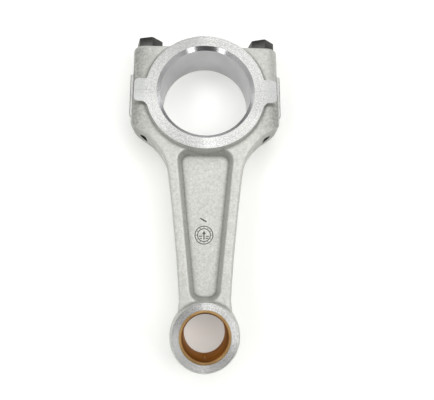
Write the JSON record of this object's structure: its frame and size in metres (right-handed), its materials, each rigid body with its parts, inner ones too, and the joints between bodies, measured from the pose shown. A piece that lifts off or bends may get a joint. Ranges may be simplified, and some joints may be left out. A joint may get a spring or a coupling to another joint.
{
  "type": "engine connecting rod",
  "caption": "Cast aluminium connecting rod with a pocketed shank, a bronze-bushed small end and a split big end whose bolted cap lifts off.",
  "frame": {"origin": "under the middle of the outline, on the plane of the lower machined faces", "axes": "+Z along both bores, +Y from the small end to the big end, +X across the two cap bolts"},
  "size_m": [0.0832, 0.1796, 0.026],
  "materials": {
    "cast_aluminium": "sand-cast skin with fine-turned faces",
    "bronze": "bored bearing bronze",
    "black_steel": "black oxide",
    "bright_steel": "ground steel"
  },
  "bodies": {
    "rod": {"rod_body": "cast_aluminium", "small_end_bushing": "bronze", "locating_dowel_left": "bright_steel", "locating_dowel_right": "bright_steel"},
    "cap": {"bearing_cap": "cast_aluminium", "bolt_washer_left": "black_steel", "bolt_washer_right": "black_steel"},
    "bolt_left": {"cap_bolt_left": "black_steel"},
    "bolt_right": {"cap_bolt_right": "black_steel"}
  },
  "joints": [
    {"name": "cap_lift", "type": "slide", "parent": "rod", "child": "cap", "axis": [0, 1, 0], "range_m": [0, 0.01625]},
    {"name": "bolt_left_turn", "type": "hinge", "parent": "cap", "child": "bolt_left", "pos_m": [-0.032, 0.08233, 0.013], "axis": [0, 1, 0], "range_deg": [0, 4680]},
    {"name": "bolt_right_turn", "type": "hinge", "parent": "cap", "child": "bolt_right", "pos_m": [0.032, 0.08233, 0.013], "axis": [0, 1, 0], "range_deg": [0, 4680]}
  ],
  "couplings": [
    {"joint": "bolt_left_turn", "follows": "cap_lift", "rad_per_m": 5026.5},
    {"joint": "bolt_right_turn", "follows": "cap_lift", "rad_per_m": 5026.5}
  ]
}
